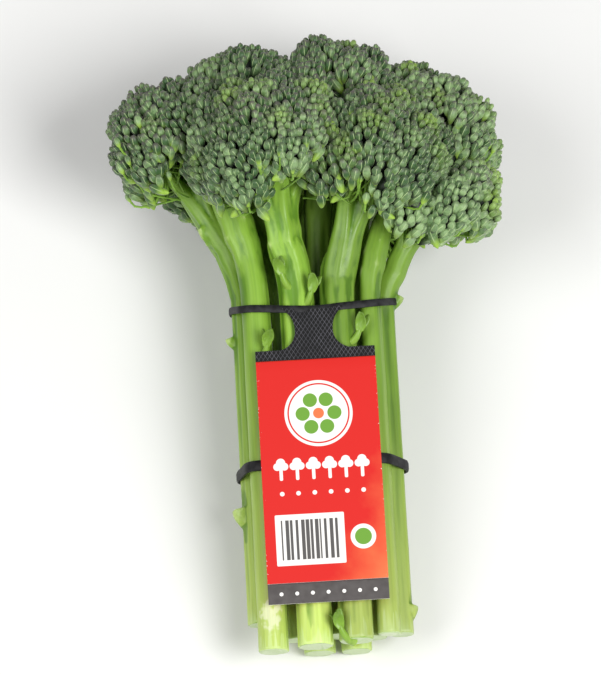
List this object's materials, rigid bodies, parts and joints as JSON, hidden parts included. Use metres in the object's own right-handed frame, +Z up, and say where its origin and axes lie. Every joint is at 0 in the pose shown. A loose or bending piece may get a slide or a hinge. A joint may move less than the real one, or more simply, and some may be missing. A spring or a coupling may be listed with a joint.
{
  "type": "broccolini bunch",
  "caption": "Tied bunch of broccolini lying down: fluted green stalks under domed bud heads, a rubber band and a folded card tag on an elastic loop.",
  "frame": {"origin": "on the table, under the middle of the bunch's bounding box", "axes": "+Y along the stalks from the cut ends to the heads, +Z up out of the tag's face, +X to the right when the tag is read"},
  "size_m": [0.1208, 0.1942, 0.0906],
  "materials": {
    "stalk": "satin",
    "head": "matte",
    "leaf": "satin",
    "rubber_band": "matte",
    "elastic_film": "satin",
    "tag_card": "satin"
  },
  "bodies": {
    "root": {"stalk_left_front": "stalk", "head_left_front": "head", "stalk_centre_left": "stalk", "head_centre_left": "head", "stalk_centre_right": "stalk", "head_centre_right": "head", "stalk_right_front": "stalk", "head_right_front": "head", "stalk_left_outer": "stalk", "head_left_outer": "head", "stalk_left_inner": "stalk", "head_left_inner": "head", "stalk_middle": "stalk", "head_middle": "head", "stalk_right_inner": "stalk", "head_right_inner": "head", "stalk_right_outer": "stalk", "head_right_outer": "head", "stalk_back_left": "stalk", "head_back_left": "head", "stalk_back_right": "stalk", "head_back_right": "head", "leaf_beside_header": "leaf", "leaf_under_left_head": "leaf", "leaf_centre": "leaf", "leaf_right_of_header": "leaf", "leaf_at_cut_end": "leaf", "lower_rubber_band": "rubber_band", "tag_elastic_loop": "elastic_film", "folded_card_tag": "tag_card"}
  },
  "joints": []
}
